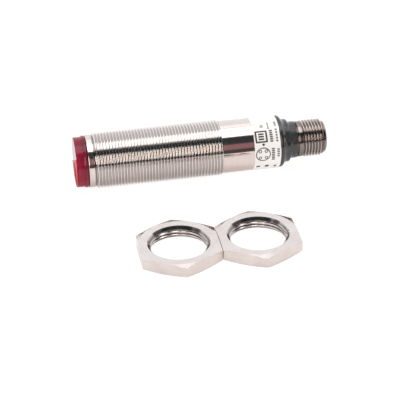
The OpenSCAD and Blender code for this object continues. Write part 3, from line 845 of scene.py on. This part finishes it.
# The floor ends a little in front of what the camera sees, so the metal mirrors the dark
# of the room there, as polished round parts do on a table.
FLOOR_FRONT, FLOOR_BACK, FLOOR_SIDE, FLOOR_GAP = -0.13, 3.0, 3.0, 0.00002
FLOOR_GLOW, OVEREXPOSED_GLOW, OVEREXPOSED_SHARE = 0.31, 1.1, 0.8
floor_mesh = bpy.data.meshes.new("floor")
floor_z = cad_box[0][2] - FLOOR_GAP
corners = [
    (-FLOOR_SIDE, FLOOR_FRONT, floor_z), (FLOOR_SIDE, FLOOR_FRONT, floor_z),
    (FLOOR_SIDE, FLOOR_BACK, floor_z), (-FLOOR_SIDE, FLOOR_BACK, floor_z),
]
floor_mesh.from_pydata(corners, [], [(0, 1, 2, 3)])
floor = bpy.data.objects.new("floor", floor_mesh)
bpy.context.scene.collection.objects.link(floor)
paper = bpy.data.materials.new("paper")
paper.use_nodes = True
tree = paper.node_tree
shader = tree.nodes["Principled BSDF"]
shader.inputs["Base Color"].default_value = (0.67, 0.66, 0.66, 1)
shader.inputs["Roughness"].default_value = 0.9
shader.inputs["Specular IOR Level"].default_value = 0.0
shader.inputs["Emission Color"].default_value = (1.0, 0.97, 0.96, 1)
shader.inputs["Emission Strength"].default_value = FLOOR_GLOW
# The camera sees the paper mostly overexposed, so only a trace of the shadows shows on it.
overexposed = tree.nodes.new("ShaderNodeEmission")
overexposed.inputs["Strength"].default_value = OVEREXPOSED_GLOW
seen = tree.nodes.new("ShaderNodeLightPath")
share = tree.nodes.new("ShaderNodeMath")
share.operation = "MULTIPLY"
share.inputs[1].default_value = OVEREXPOSED_SHARE
blend = tree.nodes.new("ShaderNodeMixShader")
link(tree, seen, "Is Camera Ray", share, 0)
link(tree, share, "Value", blend, "Fac")
link(tree, shader, "BSDF", blend, 1)
link(tree, overexposed, "Emission", blend, 2)
link(tree, blend, "Shader", tree.nodes["Material Output"], "Surface")
floor_mesh.materials.append(paper)

world = bpy.data.worlds.new("studio")
world.use_nodes = True
bpy.context.scene.world = world
tree = world.node_tree
sky = tree.nodes["Background"]
direction = tree.nodes.new("ShaderNodeTexCoord")
split = tree.nodes.new("ShaderNodeSeparateXYZ")
link(tree, direction, "Generated", split, "Vector")


def math_node(operation, a, b=None):
    """A Math node of the world's tree; a and b are numbers or outputs of other nodes."""
    node = tree.nodes.new("ShaderNodeMath")
    node.operation = operation
    for socket, value in enumerate((a, b)):
        if value is None:
            continue
        if isinstance(value, (int, float)):
            node.inputs[socket].default_value = value
        else:
            tree.links.new(value, node.inputs[socket])
    return node.outputs[0]


def band_ramp(stops):
    """A ramp over the angle from the front horizon, over the top, to the back horizon."""
    ramp = tree.nodes.new("ShaderNodeValToRGB")
    elements = ramp.color_ramp.elements
    while len(elements) > 1:
        elements.remove(elements[-1])
    elements[0].position = 0.0
    elements[0].color = (*stops[0][1], 1)
    for degrees, colour in stops[1:]:
        element = elements.new(degrees / 180)
        element.color = (*colour, 1)
    tree.links.new(elevation, ramp.inputs["Fac"])
    return ramp.outputs["Color"]


def ramp_share(value, start, end):
    """0 where a value is under start, and 1 past end."""
    node = tree.nodes.new("ShaderNodeMapRange")
    node.inputs["From Min"].default_value = start
    node.inputs["From Max"].default_value = end
    tree.links.new(value, node.inputs["Value"])
    return node.outputs["Result"]


def mix_colours(share, a, b):
    """Colour a where share is 0, and b where it is 1."""
    node = tree.nodes.new("ShaderNodeMix")
    node.data_type = "RGBA"
    for value, socket in ((share, "Factor"), (a, "A"), (b, "B")):
        tree.links.new(value, node.inputs[socket])
    return node.outputs["Result"]


toward_front = math_node("MULTIPLY", split.outputs["Y"], -1.0)
raw = math_node("ARCTAN2", split.outputs["Z"], toward_front)
elevation = math_node("MAXIMUM", math_node("DIVIDE", raw, math.pi), 0.0)
along = math_node("ABSOLUTE", split.outputs["X"])

# A white softbox overhead, a dark room in front with a low screen, warm brown on the
# plug's side and cream on the lens's side, and pale walls behind. Each ramp holds for a
# range of sideways directions; left is the lens's side and right the plug's.
WHITE = (2.9, 2.85, 2.82)
ROOM = (0.035, 0.042, 0.048)
LOW_ROOM = (0.075, 0.062, 0.058)
WARM_WALL = (0.31, 0.165, 0.175)
CREAM = (4.3, 4.05, 3.7)
PALE = (1.02, 1.04, 1.06)
BRIGHT_PALE = (1.34, 1.33, 1.35)
DUSK = (0.19, 0.165, 0.15)
SOFT = (0.62, 0.60, 0.60)
HAZE = (0.58, 0.53, 0.50)
GREY = (0.17, 0.165, 0.165)
warm_bands = band_ramp([
    (0, LOW_ROOM), (9, LOW_ROOM), (15, WARM_WALL), (31, WARM_WALL), (38, ROOM), (66, ROOM),
    (73, WHITE), (107, WHITE), (112, PALE), (118, BRIGHT_PALE), (127, BRIGHT_PALE),
    (136, PALE), (180, PALE),
])
cream_bands = band_ramp([
    (0, LOW_ROOM), (7, ROOM), (12, CREAM), (42, CREAM), (50, ROOM), (72, ROOM),
    (78, WHITE), (107, WHITE), (112, PALE), (180, PALE),
])
left_bands = band_ramp([
    (0, LOW_ROOM), (5, ROOM), (9, CREAM), (42, CREAM), (50, ROOM), (76, ROOM),
    (82, BRIGHT_PALE), (107, BRIGHT_PALE), (114, SOFT), (144, SOFT), (150, PALE),
    (180, PALE),
])
plug_bands = band_ramp([
    (0, LOW_ROOM), (9, LOW_ROOM), (15, WARM_WALL), (31, WARM_WALL), (40, LOW_ROOM),
    (62, LOW_ROOM), (73, HAZE), (107, HAZE), (112, PALE), (180, PALE),
])
right_bands = band_ramp([
    (0, LOW_ROOM), (16, ROOM), (22, DUSK), (30, DUSK), (36, ROOM), (76, ROOM),
    (82, WHITE), (107, WHITE), (112, PALE), (180, PALE),
])
end_bands = band_ramp([
    (0, GREY), (20, GREY), (30, ROOM), (62, ROOM), (68, GREY), (104, GREY),
    (114, PALE), (180, PALE),
])
sideways = split.outputs["X"]
studio = mix_colours(ramp_share(sideways, -0.03, 0.03), cream_bands, warm_bands)
studio = mix_colours(ramp_share(sideways, -0.24, -0.30), studio, left_bands)
studio = mix_colours(ramp_share(sideways, 0.212, 0.220), studio, plug_bands)
studio = mix_colours(ramp_share(sideways, 0.30, 0.34), studio, right_bands)
studio = mix_colours(ramp_share(along, 0.60, 0.68), studio, end_bands)
tree.links.new(studio, sky.inputs["Color"])

# What the camera itself sees past the floor is a plain pale backdrop.
BACKDROP_GLOW = 1.04
backdrop = tree.nodes.new("ShaderNodeBackground")
backdrop.inputs["Color"].default_value = (1, 1, 1, 1)
backdrop.inputs["Strength"].default_value = BACKDROP_GLOW
rays = tree.nodes.new("ShaderNodeLightPath")
choose = tree.nodes.new("ShaderNodeMixShader")
link(tree, rays, "Is Camera Ray", choose, "Fac")
link(tree, sky, "Background", choose, 1)
link(tree, backdrop, "Background", choose, 2)
link(tree, choose, "Shader", tree.nodes["World Output"], "Surface")
